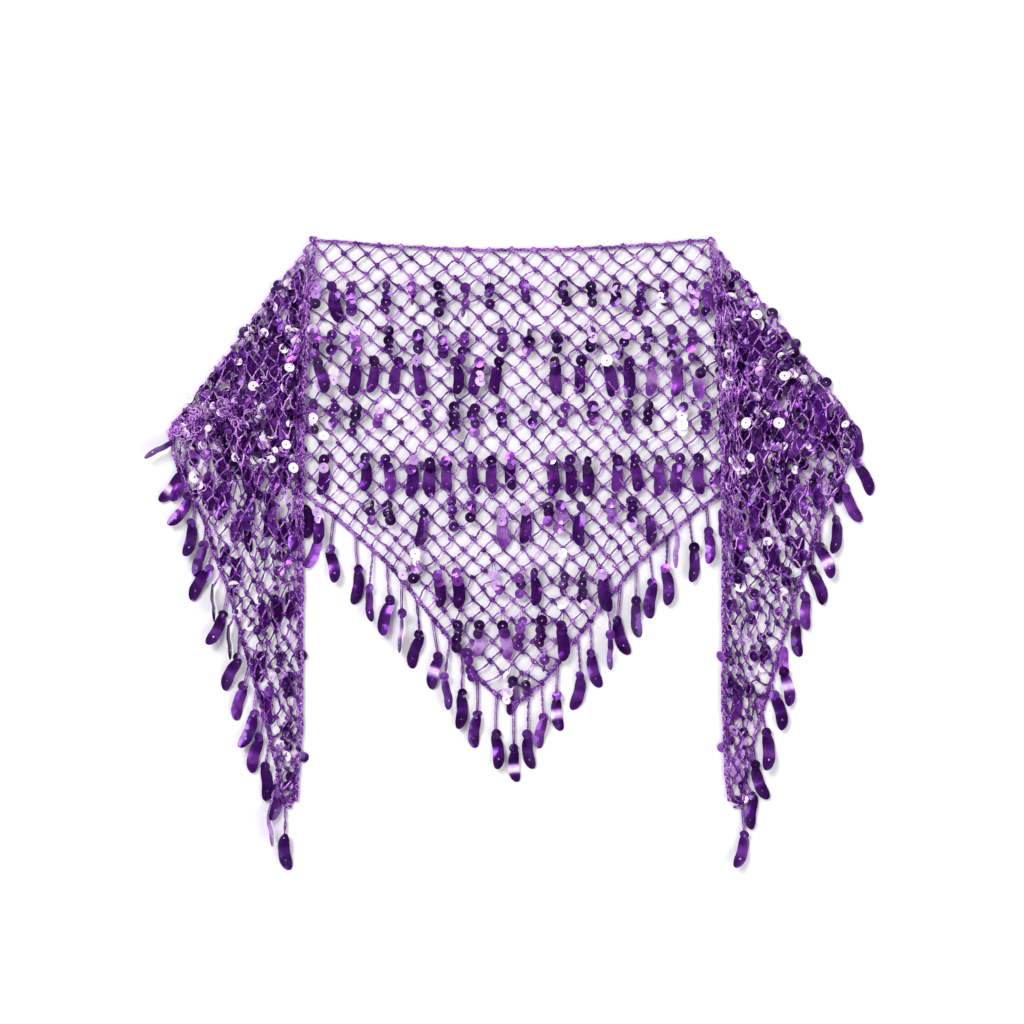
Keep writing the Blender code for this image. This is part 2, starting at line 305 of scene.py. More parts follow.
def tube_faces(rings, around):
    """Faces of a tube of rings of points, and of its ends, each closed onto one more point."""
    k = np.arange(around)
    after = (k + 1) % around
    start = np.arange(rings - 1)[:, None] * around
    near, near_after = (start + k).ravel(), (start + after).ravel()
    end, tip = (rings - 1) * around, np.full(around, rings * around)
    return [np.stack([near, near + around, near_after + around, near_after], 1),
            np.concatenate([np.stack([tip, k, after], 1),
                            np.stack([tip + 1, end + after, end + k], 1)])]

def repeated(faces, count, size):
    """Faces of one shape for this many copies of it, each of this many points."""
    offset = (np.arange(count) * size)[:, None, None]
    return [(f + offset).reshape(-1, f.shape[1]) for f in faces]

def yarn(path, thick, sides=6, pitch=3.2, groove=0.16, shade=0.0):
    """Two-ply yarn along n paths at once, path (n, m, 3) and thick its radius, in mm.
    Round each place the surface is r(a) = thick (1 + groove cos 2(a - turn)), and the turn grows by
    one full circle every pitch, so that the two plies wind round each other. Where it would dip
    into the table it is pressed flat."""
    n, m = path.shape[:2]
    ahead = unit(np.gradient(path, axis=1))
    aside = unit(np.cross(ahead, UP))
    above = np.cross(aside, ahead)
    steps = np.linalg.norm(np.diff(path, axis=1), axis=-1)
    along = np.concatenate([np.zeros((n, 1)), np.cumsum(steps, 1)], 1)
    a = 2 * np.pi * np.arange(sides) / sides
    turn = 2 * np.pi * along[..., None] / pitch
    r = np.broadcast_to(thick, (n, m))[..., None] * (1 + groove * np.cos(2 * (a - turn)))
    ring = path[:, :, None] + r[..., None] * (
        np.cos(a)[:, None] * aside[:, :, None] + np.sin(a)[:, None] * above[:, :, None])
    ring[..., 2] = np.maximum(ring[..., 2], SKIN)
    points = np.concatenate([ring.reshape(n, m * sides, 3), path[:, :1], path[:, -1:]], 1)
    marks = {"shade": np.repeat(np.broadcast_to(shade, n), points.shape[1]).astype(float)}
    return points.reshape(-1, 3), repeated(tube_faces(m, sides), n, points.shape[1]), marks

def copies(shape, places, turns, sizes, **marks):
    """n copies of a small shape at once: each point p goes to place + turn · (size p), and a copy
    that would dip into the table is lifted until it lies on it. A size is one number or three; a
    mark is one number for all, one for each copy, or one for each point of each copy."""
    points, faces = shape
    placed = np.einsum("nij,nvj->nvi", turns, points * np.reshape(sizes, (len(places), 1, -1)))
    placed = placed + places[:, None]
    placed[..., 2] += np.maximum(SKIN - placed[..., 2].min(1, keepdims=True), 0.0)
    spread = {}
    for key, value in marks.items():
        value = np.asarray(value, float)
        value = value[:, None] if value.ndim == 1 else value
        spread[key] = np.broadcast_to(value, placed.shape[:2]).ravel()
    return placed.reshape(-1, 3), repeated(faces, len(places), len(points)), spread

def turned(spin, nod, roll):
    """Turns, (n, 3, 3): first rolled about its own long y axis, then nodded about x, then spun
    about z, all in radians."""
    angles = np.array(np.broadcast_arrays(spin, nod, roll))
    (cs, cn, cr), (sn, nn, rr) = np.cos(angles), np.sin(angles)
    zero, one = np.zeros_like(cs), np.ones_like(cs)
    about_z = np.array([[cs, -sn, zero], [sn, cs, zero], [zero, zero, one]])
    about_x = np.array([[one, zero, zero], [zero, cn, -nn], [zero, nn, cn]])
    about_y = np.array([[cr, zero, rr], [zero, one, zero], [-rr, zero, cr]])
    return np.einsum("ijn,jkn,kln->nil", about_z, about_x, about_y)

# %% [markdown]
# ## Two materials: metallic yarn and metallised film
#
# The yarn is a soft purple polyester ply wound with flat metallic thread. Close to, it is dark in
# its grooves and glitters in points a fraction of a millimetre wide; further off it reads as one
# clear purple. The sequins are punched from PET film, metallised on the back and lacquered violet:
# a smooth mirror with a clear coat, faintly wavy, and no two hang alike.
# %% Metallic yarn
def noise(tree, length, **settings):
    """The value of a noise with lumps of about this length in mm."""
    place = add_node(tree, "ShaderNodeTexCoord").outputs["Object"]
    node = add_node(tree, "ShaderNodeTexNoise", {"Scale": 1 / (length * MM), **settings},
                    Vector=place)
    return node.outputs["Fac"]

def point_mark(tree, name):
    """A number that the points of the mesh carry."""
    return add_node(tree, "ShaderNodeAttribute", {"attribute_name": name}).outputs["Fac"]

def maths(tree, operation, *values):
    """A maths node's result for numbers and other nodes' outputs."""
    node = add_node(tree, "ShaderNodeMath", {"operation": operation})
    for socket, value in zip(node.inputs, values):
        if isinstance(value, float):
            socket.default_value = value
        else:
            tree.links.new(value, socket)
    return node.outputs[0]

def add_bump(tree, shader, height, strength, depth):
    """Bumps of this depth in mm on a shader."""
    bump = add_node(tree, "ShaderNodeBump", {"Strength": strength, "Distance": depth * MM},
                    Height=height)
    tree.links.new(bump.outputs["Normal"], shader.inputs["Normal"])

def make_metallic_yarn(name, dark, middle, bright):
    """Metallic thread wound round polyester, so it glitters in fine points over a darker ply. The
    glitter is partly the thread's paler colour and partly painted glint: pale specks in the base
    colour, drawn at 0.9 mm, coarser than the real 0.3 mm, so that it shows."""
    material, tree, shader = new_material(name, {
        "Metallic": 0.45, "Roughness": 0.38, "Specular IOR Level": 0.2})
    glitter = noise(tree, 0.9, Detail=2.0, Roughness=0.6)
    mixed = maths(tree, "MULTIPLY_ADD", noise(tree, 14), 0.35, glitter)
    lifted = maths(tree, "ADD", mixed, point_mark(tree, "shade"))
    shine = ramp(tree, lifted, [(0.50, dark), (0.60, middle), (0.69, middle), (0.81, bright)])
    tree.links.new(shine, shader.inputs["Base Color"])
    add_bump(tree, shader, glitter, 0.5, 0.15)
    return material

net_yarn = make_metallic_yarn("metallic_net_yarn", "#380b57", "#722f99", "#dba2ec")
cord_yarn = make_metallic_yarn("metallic_edge_cord", "#350a52", "#6f2e96", "#d79eec")

# %% Sequin film
def make_film(name, stops):
    """PET film, metallised and lacquered: smooth, mostly metallic, with a clear coat over it. Its
    waviness, about 9 mm long, bends what it mirrors into bands."""
    material, tree, shader = new_material(name, {
        "Roughness": 0.21, "Specular IOR Level": 0.05, "Coat Weight": 0.45, "Coat Roughness": 0.06})
    mixed = maths(tree, "MULTIPLY_ADD", noise(tree, 5, Detail=1.0), 0.22, point_mark(tree, "tone"))
    tree.links.new(ramp(tree, mixed, stops), shader.inputs["Base Color"])
    # the palest tones turn from metallic to diffuse, so that painted white flashes read white
    metal = add_node(tree, "ShaderNodeMapRange", {"From Min": 0.62, "From Max": 1.0,
                     "To Min": 0.54, "To Max": 0.1}, Value=mixed)
    tree.links.new(metal.outputs["Result"], shader.inputs["Metallic"])
    add_bump(tree, shader, noise(tree, 9, Detail=0.0), 1.0, 1.5)
    return material

# the tone mark carries painted light: the ramp's near-white top is painted flash
violet_film = make_film("violet_metallised_film", [
    (0.08, "#27023f"), (0.30, "#501576"), (0.55, "#9044b8"), (0.80, "#d8a6f0"), (1.0, "#fbf2fc")])

# for each slot its material and the angle from which an edge stays sharp
LOOKS = {"net_yarn": (net_yarn, None), "edge_yarn": (cord_yarn, None),
         "foil_fringe": (violet_film, 35)}

# %% [markdown]
# ## The small shapes
#
# A knot is a lumpy bead of yarn, a round sequin a shallow cup with a hole, and a long sequin a
# kidney bean of film with one hole near its top and one lower down. Each is repeated many times
# over, so none has more than about two hundred faces.
# %% Knot, round sequin and bean sequin
def knot_shape(around=7, bands=4):
    """A bead: r(a, b) = 1 + 0.16 sin(2a + 3b) on a sphere, a round it and b from pole to pole."""
    b = np.pi * np.arange(1, bands) / bands
    a = 2 * np.pi * np.arange(around) / around
    b, a = np.meshgrid(b, a, indexing="ij")
    r = 1 + 0.16 * np.sin(2 * a + 3 * b)
    ring = np.stack([r * np.cos(b), r * np.sin(b) * np.cos(a), r * np.sin(b) * np.sin(a)], -1)
    points = np.concatenate([ring.reshape(-1, 3), [(1, 0, 0), (-1, 0, 0)]])
    return points, tube_faces(bands - 1, around)

def round_shape(radius=4.9, hole=0.75, cup=0.6, film=0.14, around=14):
    """A round sequin: a cup z = cup (r / radius)², closed by its underside and its hole's wall."""
    a = 2 * np.pi * np.arange(around) / around
    def ring(r, lift):
        z = np.full(around, cup * (r / radius) ** 2 + lift)
        return np.stack([r * np.cos(a), r * np.sin(a), z], 1)
    points = np.concatenate([ring(hole, film), ring(0.6 * radius, film), ring(radius, film / 2),
                             ring(hole, 0.0)])
    k = np.arange(around)
    after = (k + 1) % around
    bands = [np.stack([k + i * around, k + j * around, after + j * around, after + i * around], 1)
             for i, j in ((0, 1), (1, 2), (2, 3), (3, 0))]
    return points, [np.concatenate(bands)]

BEAN_LENGTH, FRINGE_LENGTH = 31.0, 32.0   # mm, the long sequins on the net and on the fringe
HOLE_DOWN = 0.11                          # the share of a bean's length above its upper hole

def bean_shape(length=BEAN_LENGTH, half=6.0, bend=2.2, cup=1.1, film=0.16, step=0.0,
               across=(-1.0, -0.13, 0.13, 1.0),
               down=(0.0, 0.035, 0.085, 0.135, 0.32, 0.52, 0.70, 0.75, 0.90, 0.97, 1.0),
               holes=(2, 6)):
    """A long sequin from its top hole down: x = bend (1 - (2s - 1)²) + t h(s), y = -length s and
    z = cup ((2s - 1)² - t² / 2), for s down it and t across; a bent one also steps up half way
    down. Its half width h(s) is half √(1 - |2s - 1|^3.2), drawn in a little at the middle. The
    cells left out are its holes."""
    s = np.array(down)
    t = np.array(across)
    h = half * np.sqrt(1 - np.abs(2 * s - 1) ** 3.2 * 0.975) * (0.93 + 0.09 * s)
    h = h * (1 - 0.07 * np.exp(-((s - 0.48) / 0.16) ** 2))
    s_grid, t_grid = np.meshgrid(s, t, indexing="ij")
    x = bend * (1 - (2 * s_grid - 1) ** 2) + t_grid * h[:, None] - bend * 0.45
    y = -length * (s_grid - HOLE_DOWN)
    z = cup * ((2 * s_grid - 1) ** 2 - t_grid ** 2 / 2) + step * eased(s_grid, 0.38, 0.62)
    top = np.stack([x, y, z + film], -1)
    rows, columns = len(s), len(t)
    points = np.concatenate([top.reshape(-1, 3), (top - (0, 0, film)).reshape(-1, 3)])
    cell = np.array([(i, j) for i in range(rows - 1) for j in range(columns - 1)
                     if not (i in holes and j == (columns - 2) // 2)])
    at = cell[:, 0] * columns + cell[:, 1]
    front = np.stack([at, at + columns, at + columns + 1, at + 1], 1)
    under = front[:, ::-1] + rows * columns
    edges = np.stack([front, np.roll(front, -1, 1)], -1).reshape(-1, 2)
    keys = set(map(tuple, edges))
    rim = np.array([(a, b) for a, b in edges if (b, a) not in keys])
    wall = np.stack([rim[:, 1], rim[:, 0], rim[:, 0] + rows * columns,
                     rim[:, 1] + rows * columns], 1)
    return points, [np.concatenate([front, under, wall])]

def down_bean(shape, length):
    """How far down a bean each of its points lies, 0 at the top and 1 at the end."""
    return HOLE_DOWN - shape[0][:, 1] / length

KNOT, ROUND, BEAN = knot_shape(), round_shape(), bean_shape()
FRINGE_BEAN = bean_shape(
    length=FRINGE_LENGTH, half=5.6, bend=2.4, step=1.7, across=(-1, -0.62, -0.13, 0.13, 0.62, 1),
    down=(0, 0.015, 0.045, 0.085, 0.13, 0.2, 0.3, 0.4, 0.5, 0.6, 0.70, 0.745, 0.82, 0.9, 0.955,
          0.985, 1), holes=(3, 10))
print("faces:", [sum(len(f) for f in s[1]) for s in (KNOT, ROUND, BEAN, FRINGE_BEAN)])

# %% [markdown]
# ## The middle stretch of net
#
# The net is knotted from the waist down: every knot takes the two strands above it and sends two
# on, so its cells are diamonds. They are 20 mm wide at the waist and draw in to 18 mm half way
# down, where the net stretches lengthwise, and the last knots make the pointed hem. The same net
# runs on under both folded ends.
# %% The lattice of the middle
ROWS_DOWN, POINTED_FROM = 44, 24   # half rows from waist edge to point, and where the point starts
EVEN_FROM, EVEN_DEPTH = 20, 184.5  # from this half row and depth on they are evenly spaced
POINT_DEPTH, TOP_Y = 223.3, 271.8  # mm, from there to the last of them, and the height of the first
CELL_WIDTHS = np.array([           # y, width of a cell
    (280, 19.9), (227, 20.5), (182, 19.6), (137, 18.9), (92, 18.2), (0, 18.0), (-45, 18.0),
    (-100, 19.0), (-136, 20.0)])

def lattice(inside, x, y, z):
    """The knots inside a grid, their numbers on it, and pairs of them for the strands that fall
    and the strands that rise to the right."""
    number = np.where(inside, np.cumsum(inside.ravel()).reshape(inside.shape) - 1, -1)
    ends = ((number[:-1, :-1], number[1:, 1:]), (number[:-1, 1:], number[1:, :-1]))
    pairs = [np.stack(both, -1).reshape(-1, 2) for both in ends]
    return [np.stack([x, y, z], -1)[inside], number] + [p[(p >= 0).all(1)] for p in pairs]

def centre_lattice(dice):
    """Knots and strands of the middle. Row r is 8.55 r + 0.034 r² mm down, evenly from row 20, and
    its knots are half a cell apart from those of the next."""
    r = np.arange(ROWS_DOWN + 1)[:, None]
    k = np.arange(-36, 37)[None, :]
    even_pitch = (r - EVEN_FROM) * POINT_DEPTH / (ROWS_DOWN - EVEN_FROM)
    depth = np.where(r <= EVEN_FROM, 8.55 * r + 0.03375 * r ** 2, EVEN_DEPTH + even_pitch)
    y = TOP_Y - depth + 0.0 * k
    x = k / 2 * read(CELL_WIDTHS, y, CELL_WIDTH)
    left = np.maximum(ROWS_DOWN - r, 1)
    stretch = read(HEM_ROWS, y, HALF_WIDTH) / (left / 2 * read(CELL_WIDTHS, y, CELL_WIDTH)) - 1
    pointed = (r >= POINTED_FROM)
    x = np.where(pointed, x * (1 + stretch * (k / left) ** 2), x)
    y = y + WAIST_SAG * np.minimum((x / WAIST_HALF) ** 2, 1) * np.clip(1 - depth / 60, 0, 1)
    inside = np.where(pointed, np.abs(k) <= ROWS_DOWN - r, past_hem(np.abs(x), y) < -1.0)
    inside &= np.abs(x) <= np.maximum(fold_line(y) - FOLD_INSET, 180.0)
    inside &= (r + k) % 2 == 0
    hem = pointed & (np.abs(k) == ROWS_DOWN - r) | (r == 0)
    free = np.where(hem, 0.15, 1.0)
    x = x + free * (dice.normal(0, 0.55, x.shape) + 0.9 * ripples(x, y, 11, 90))
    y = y + free * (dice.normal(0, 0.55, x.shape) + 0.9 * ripples(x, y, 12, 80))
    z = 2.1 + 0.6 * ripples(x, y, 13, 60) + dice.normal(0, 0.2, x.shape)
    return lattice(inside, x, y, z)

def slack_path(start, end, sections, swing, lift, dice):
    """Paths of yarn from start to end, (n, 3) each: straight, plus a swing aside of sin(πt) and a
    smaller sin(2πt), and a lift of sin(πt)."""
    t = np.linspace(0, 1, sections)[None, :, None]
    run = end - start
    aside = unit(np.stack([-run[:, 1], run[:, 0], 0 * run[:, 0]], 1))
    n = len(start)
    bow, snake = dice.normal(0, swing, (n, 1, 1)), dice.normal(0, swing / 2, (n, 1, 1))
    rise = dice.normal(lift, lift / 2 + 0.05, (n, 1, 1))
    path = start[:, None] + run[:, None] * t
    path = path + aside[:, None] * (bow * np.sin(np.pi * t) + snake * np.sin(2 * np.pi * t))
    return path + rise * np.sin(np.pi * t) * UP

KNOT_SIZES = ((3.0, 0.35), (2.4, 0.25), (2.0, 0.15))   # mean and spread of its three half sizes

def knotted_net(knots, groups, dice, sections, swing, lift, light=0.0, vary=0.05, knot=1.0):
    """The parts of a net: yarn for each group of strands, (pairs, radius), which thickens into the
    knots, and a knot of its own size and turn at each crossing. light, about which strands vary,
    and knot, a share of the radius and the knots' size, are one number or one for each knot."""
    light, knot = np.broadcast_to(light, len(knots)), np.broadcast_to(knot, len(knots))
    t = np.linspace(-1, 1, sections)
    parts = []
    for pairs, thick in groups:
        path = slack_path(knots[pairs[:, 0]], knots[pairs[:, 1]], sections, swing, lift, dice)
        swell = 0.92 + 0.95 * np.abs(t) ** 4 + dice.normal(0, 0.13, (len(pairs), sections))
        parts.append(yarn(path, thick * knot[pairs[:, :1]] * swell,
                          shade=light[pairs[:, 0]] + dice.normal(0, vary, len(pairs))))
    n = len(knots)
    size = np.stack([dice.normal(mean, spread, n) for mean, spread in KNOT_SIZES], 1)
    turns = turned(dice.normal(-0.75, 0.35, n), dice.normal(0, 0.1, n), dice.uniform(-0.4, 0.4, n))
    parts.append(copies(KNOT, knots, turns, size * knot[:, None],
                        shade=light + dice.normal(-0.07, 0.07, n)))
    return parts

dice = np.random.default_rng(101)
centre_knots, _, falling, rising = centre_lattice(dice)
parts = knotted_net(centre_knots, [(falling, 0.85), (rising, 0.77)], dice, sections=7, swing=0.8,
                    lift=1.2)
centre_net = make_piece("centre_net", parts, "net_center", "net_yarn")
print(len(centre_knots), "knots and", len(falling) + len(rising), "strands")

# %% [markdown]
# ## The folded ends
#
# On a folded end the same net has turned with the fold, so its cells stand upright: about 10 mm
# wide and 19 mm tall, bunched beside the waist edge, and it lies in soft gathers over the layer
# below and then on the table.
# %% The lattice of a folded end
WING_CELL, WING_ROW, WING_TOP = 9.6, 9.5, 279.0   # mm: a cell's width, half a row, the first row
BUNCH_REACH = 11.0                   # mm from the waist edge over which the net is bunched

def wing_lattice(side, seed, dice):
    """Knots, strands and the strands along the outer edge, for one end. Columns are bunched as
    d - b (1 - exp(-d / reach)), b less towards the tip, and the last knot of a row is drawn onto
    the edge."""
    r = np.arange(54)[:, None]
    k = np.arange(0, 32)[None, :]
    y = WING_TOP - WING_ROW * r + 0.0 * k
    inner, outer = waist_side(y) + CORD_HALF - 1.2, outer_side(y)
    d = k / 2 * WING_CELL
    bunch = 2.5 + 4.0 * eased(y, -90, 50)
    x = inner + d - bunch * (1 - np.exp(-d / BUNCH_REACH))
    free = eased(np.minimum(d, outer - x), 0.0, 16.0)
    x = x + free * (2.6 * ripples(x, y, seed, 70) + dice.normal(0, 1.1, x.shape))
    y = y + free * (3.0 * ripples(x, y, seed + 1, 55) + dice.normal(0, 1.4, x.shape))
    inside = (outer - x > -3.6) & ((r + k) % 2 == 0)
    edge = inside & (outer - x < 5.6)
    x = np.where(edge, outer - 0.9, x)
    z = over_drops(x, y) + 1.9 + 0.4 * ripples(x, y, seed + 2, 40) + dice.normal(0, 0.15, x.shape)
    knots, number, falling, rising = lattice(inside, side * x, y, z)
    rim = number[edge]
    rim = rim[np.argsort(-knots[rim, 1])]
    return knots, falling, rising, np.stack([rim[:-1], rim[1:]], 1)

def bunched_strands(side, offset, lowest, dice):
    """Strands of net drawn together beside the waist edge, from the top corner down to the lowest
    y: x wanders by a slow and a fast sine about each of the offsets from it."""
    y = np.arange(268.0, lowest, -2.6)[None, :]
    offset = np.array(offset)[:, None]
    start = dice.uniform(0, 2 * np.pi, (len(offset), 2))
    x = waist_side(y) + CORD_HALF + offset
    slow, fast = start[:, :1], start[:, 1:]
    x = x + 1.3 * np.sin(2 * np.pi * y / 38 + slow) + 0.6 * np.sin(2 * np.pi * y / 17 + fast)
    outer = outer_side(y)
    x = np.minimum(x, outer - 1.2)
    z = over_drops(np.minimum(x, outer - 0.5), y) + 1.6 + 0.5 * np.sin(2 * np.pi * y / 23 + slow)
    return np.stack([side * x, y + 0 * x, z], -1)

LOOPS = 72                        # loops of slack net heaped at the left end's outer corner
HEAP_START, HEAP_RUN = (-303.0, 117.0), (70.0, 14.0)   # mm, where the heap starts, how far it runs
BUNCHED = 0.66                    # mm, radius of the strands beside the waist edge
TIP_SHADE, TOP_SHADE, TOP_STOUT = -0.045, 0.025, 0.84   # yarn's paleness, and its thickness

def tangled_loops(dice):
    """Slack loops of yarn heaped along a line in from the fold's corner: arcs of 200 to 320 degrees,
    each of its own radius and oval."""
    one_each = (LOOPS, 1)
    t = np.linspace(0, 1, 14)[None, :]
    share = dice.uniform(0, 1, one_each) ** 1.4
    centre_x = HEAP_START[0] + HEAP_RUN[0] * share + dice.normal(0, 2.0, one_each)
    centre_y = HEAP_START[1] + HEAP_RUN[1] * share + dice.normal(0, 6.5, one_each)
    centre_y = below_fold(centre_x, centre_y, 6.0)
    radius, oval = dice.uniform(2.2, 6.4, one_each), dice.uniform(0.45, 1.0, one_each)
    a = dice.uniform(0, 2 * np.pi, one_each) + dice.uniform(3.5, 5.6, one_each) * t
    lean = dice.uniform(0, np.pi, one_each)
    u, v = radius * np.cos(a), radius * oval * np.sin(a)
    x = centre_x + u * np.cos(lean) - v * np.sin(lean)
    y = centre_y + u * np.sin(lean) + v * np.cos(lean)
    z = over_drops(-x, y) + 3.0 + dice.uniform(-0.6, 1.0, one_each) + 0.5 * np.sin(2 * a)
    return np.stack([x, y, z], -1)

for (side, label), seed in zip(SIDES, (21, 31)):
    dice = np.random.default_rng(seed)
    knots, falling, rising, rim = wing_lattice(side, seed, dice)
    light = TIP_SHADE + (TOP_SHADE - TIP_SHADE) * eased(knots[:, 1], -60, 80)
    stout = TOP_STOUT + (1 - TOP_STOUT) * eased(-knots[:, 1], -80, 60)
    parts = knotted_net(knots, [(falling, 0.82), (rising, 0.74), (rim, 0.82)], dice, sections=8,
                        swing=1.0, lift=0.6, light=light, vary=0.10, knot=stout)
    for offsets, lowest, shade in (((0.2,), -222.0, -0.02), ((-0.6, 3.2), -40.0, 0.04)):
        parts.append(yarn(bunched_strands(side, offsets, lowest, dice), BUNCHED, shade=shade))
    if label == "right":
        parts.append(yarn(bunched_strands(side, (5.6, 8.2, 11.0), 20.0, dice), BUNCHED,
                          shade=dice.normal(0.04, 0.04, 3)))
        parts = [bellied(part) for part in parts]
    else:
        parts.append(yarn(tangled_loops(dice), 0.70, shade=dice.normal(0.06, 0.06, LOOPS)))
    make_piece("net_" + label + "_end", parts, "net_" + label, "net_yarn")

# %% [markdown]
# ## Waist edge and hem chains
#
# The waist edge is a crocheted band: three yarns plaited flat. Down the inner side of each folded
# end it lies doubled up and looks broader. A looser plait runs along the hem and carries the
# fringe.
# %% Plaited cords
def plait(route, kind, dice):
    """Three yarns plaited flat along a route: yarn k lies aside by wide sin(u + 2πk/3) and up by
    tall sin(2(u + 2πk/3)), where u grows by a full circle every turns_every mm."""
    wide, tall, thick, step, turns_every = PLAITS[kind]
    route = np.asarray(route, float)
    lengths = np.concatenate([[0], np.cumsum(np.linalg.norm(np.diff(route, axis=0), axis=1))])
    along = np.arange(0, lengths[-1], step)
    line = np.stack([np.interp(along, lengths, route[:, c]) for c in range(3)], 1)
    aside = unit(np.cross(np.gradient(line, axis=0), UP))
    u = 2 * np.pi * along / turns_every + 2 * np.pi * np.arange(3)[:, None] / 3
    u = u + 0.5 * ripples(along + 0 * u, u, 5, 40)
    path = line + (wide * np.sin(u))[..., None] * aside
    path = path + (tall * np.sin(2 * u))[..., None] * UP
    lumps = thick * (1 + dice.normal(0, 0.13, path.shape[:2]))
    return yarn(path, lumps, shade=np.array((0.02, 0.10, -0.08)), pitch=2.6)

# how far the yarns lie aside and up, their radius, the steps along them and a full turn, in mm
PLAITS = {"waist": (0.85, 0.45, 0.66, 1.1, 7.0), "folded waist": (1.15, 0.6, 0.75, 1.2, 8.0),
          "hem": (1.15, 0.55, 0.8, 1.1, 9.5), "hidden hem": (1.1, 0.4, 0.75, 1.3, 9.5),
          "folded hem": (1.0, 0.45, 0.72, 1.1, 9.5)}

dice = np.random.default_rng(41)
x = np.linspace(-WAIST_HALF + 1.0, WAIST_HALF - 1.0, 90)
sag = WAIST_SAG * (1 - np.minimum(np.abs(x) / WAIST_HALF, 1) ** 2)
route = np.stack([x, WAIST_Y - sag + 0.5 * ripples(x, 0 * x, 42, 30), 2.2 + 0 * x], 1)
crown = WAIST_SAG * (centre_knots[:, 0] / WAIST_HALF) ** 2
top_knots = centre_knots[centre_knots[:, 1] > 270.0 + crown]
n = len(top_knots)
sag = WAIST_SAG * (1 - (top_knots[:, 0] / WAIST_HALF) ** 2)
bumps = copies(KNOT, np.column_stack([top_knots[:, 0], WAIST_Y - 0.4 - sag, np.full(n, 2.3)]),
               turned(dice.normal(0, 0.5, n), 0.0, dice.uniform(0, 3, n)),
               dice.normal(2.7, 0.3, n), shade=dice.normal(0, 0.06, n))
cords = {"center": make_piece("waist_edge_center_cord", [plait(route, "waist", dice), bumps],
                              "waist_edge_center", "edge_yarn")}
for side, label in SIDES:
    y = np.linspace(283.3, -225.0, 130)
    x = waist_side(y) + 0.8 * ripples(y, 0 * y, 43 + side, 40)
    up = (NET_THICK + LAYER_GAP) * (1 - eased(past_hem(x, y), *DROP_AFTER_HEM))
    z = 2.3 + up * (1 - eased(y, WAIST_Y - 13, WAIST_Y))
    route = np.stack([side * x, y, z], 1)
    cords[label] = make_piece("waist_edge_" + label + "_cord", [plait(route, "folded waist", dice)],
                              "waist_edge_" + label, "edge_yarn")

# %% [markdown]
# ## The fringe
#
# Each drop hangs from the hem by a doubled thread, through a round sequin, to a long bean sequin.
# No two hang the same way, so each is listed: its root on the hem, the middle and the lower end of
# its bean, how pale it is, and how far it has rolled onto its edge.
# %% The drops, on the lay-out grid
# root x, y, bean's middle x, y, its end x, y, paleness (partly painted light), roll in degrees, has a
# round, has a painted reflection band
CENTRE_DROPS = np.array([
    (316, 508, 313, 553, 306, 568, .45, 20, 0, 0), (334, 522, 333, 568, 336, 582, .15, 5, 1, 0),
    (356, 541, 357, 587, 355, 603, .12, -8, 1, 0), (373, 553, 371, 605, 373, 621, .38, 48, 1, 0),
    (387, 568, 386, 618, 382, 632, .30, -12, 1, 0), (402, 583, 402, 630, 402, 648, .43, 74, 1, 1),
    (416, 603, 416, 651, 411, 667, .14, 6, 1, 0), (432, 621, 434, 675, 430, 688, .20, -10, 1, 1),
    (450, 643, 446, 693, 448, 710, .35, 42, 1, 0), (462, 661, 461, 707, 460, 727, .10, 4, 1, 0),
    (477, 682, 476, 725, 474, 747, .22, 10, 1, 0), (497, 703, 497, 750, 499, 767, .12, -6, 1, 0),
    (514, 702, 515, 765, 516, 782, .10, 3, 1, 1), (529, 702, 529, 751, 531, 768, .14, -10, 1, 0),
    (541, 686, 541, 733, 538, 750, .43, 14, 1, 0), (558, 668, 558, 714, 560, 730, .16, 10, 1, 1),
    (578, 640, 578, 691, 574, 708, .28, -6, 1, 0), (590, 622, 594, 668, 599, 686, .26, 8, 1, 0),
    (607, 601, 611, 652, 612, 668, .40, 58, 1, 0), (621, 585, 621, 636, 626, 652, .12, -8, 1, 0),
    (636, 572, 637, 617, 639, 634, .14, 30, 1, 0), (649, 550, 651, 600, 649, 616, .30, 6, 1, 0),
    (667, 535, 667, 585, 669, 602, .20, -20, 1, 0), (673, 533, 677, 552, 677, 565, .95, 60, 0, 0),
    (689, 512, 693, 566, 692, 582, .16, 14, 1, 0), (706, 495, 709, 548, 710, 565, .42, -10, 1, 0)])
LEFT_DROPS = np.array([
    (173, 428, 160, 451, 148, 459, .42, 66, 0, 0), (178, 460, 171, 488, 162, 500, .22, 12, 0, 1),
    (187, 478, 181, 511, 171, 525, .25, -10, 1, 0), (193, 498, 190, 540, 187, 556, .14, 5, 1, 0),
    (202, 525, 200, 563, 196, 578, .20, 24, 1, 0), (206, 548, 201, 583, 192, 597, .12, -6, 1, 0),
    (212, 572, 213, 602, 213, 618, .12, 80, 0, 0), (220, 590, 216, 630, 209, 644, .18, 8, 1, 0),
    (222, 612, 229, 645, 229, 658, .14, 76, 0, 0),
    (230, 628, 232, 673, 224, 688, .16, -6, 1, 0), (243, 664, 240, 703, 236, 719, .43, 12, 1, 0),
    (251, 688, 249, 729, 243, 745, .20, -8, 1, 0), (260, 708, 256, 754, 252, 770, .30, 8, 1, 0),
    (266, 737, 266, 783, 267, 799, .12, 8, 1, 0), (272, 768, 270, 828, 271, 843, .92, 74, 0, 0),
    (279, 777, 275, 802, 273, 817, .08, 24, 0, 0), (285, 801, 286, 850, 288, 867, .18, 7, 0, 0)])
